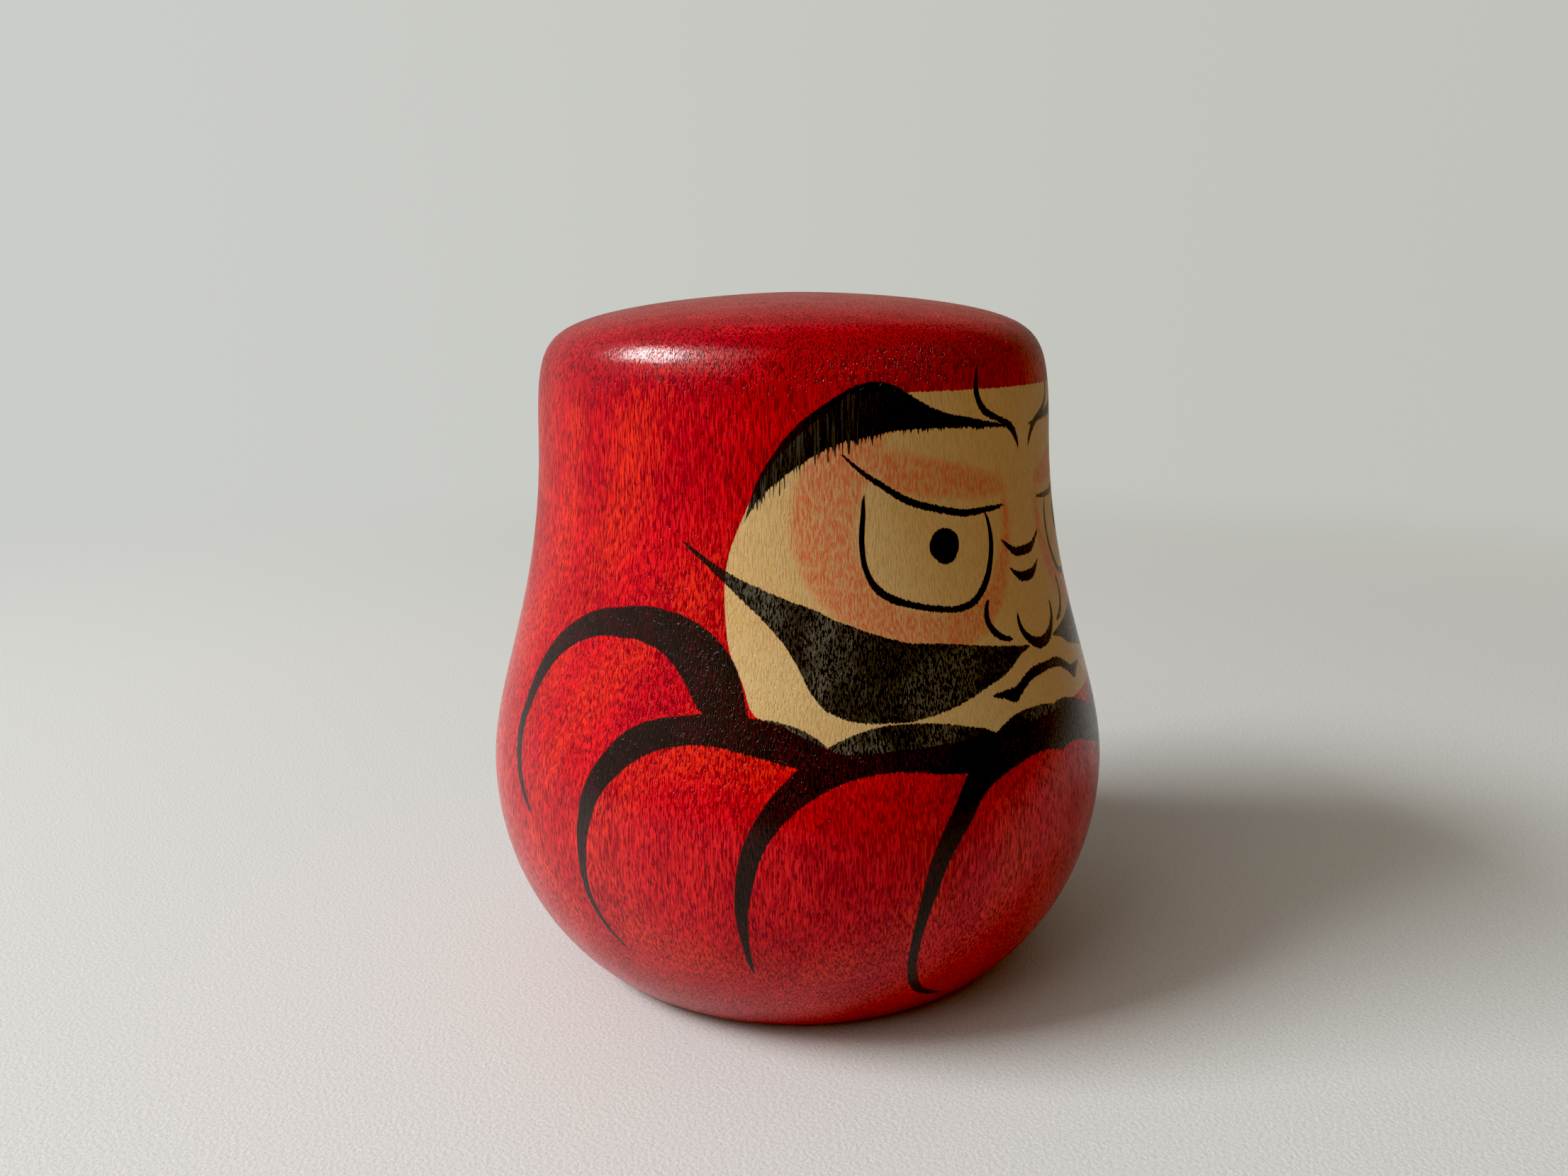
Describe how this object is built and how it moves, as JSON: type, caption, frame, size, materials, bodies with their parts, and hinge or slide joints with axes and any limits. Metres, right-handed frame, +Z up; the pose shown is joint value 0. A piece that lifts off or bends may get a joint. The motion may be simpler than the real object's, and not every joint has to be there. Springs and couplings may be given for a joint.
{
  "type": "daruma doll",
  "caption": "Turned wooden tumbler-shaped doll with a domed head, a waisted body and a weighted flat foot, dyed and painted with a bearded face.",
  "frame": {"origin": "centre of the foot, on the surface that the doll stands on", "axes": "+Z up along the turned axis; the painted face looks along -Y; +X is to the right of a viewer facing it"},
  "size_m": [0.0754, 0.0754, 0.08],
  "materials": {
    "dyed_wood": "red dye over turned pale wood, painted face, waxed",
    "iron": "raw turned iron",
    "bare_wood": "bare turned wood"
  },
  "bodies": {
    "root": {"body": "dyed_wood", "ballast": "iron", "base_plug": "bare_wood"}
  },
  "joints": []
}
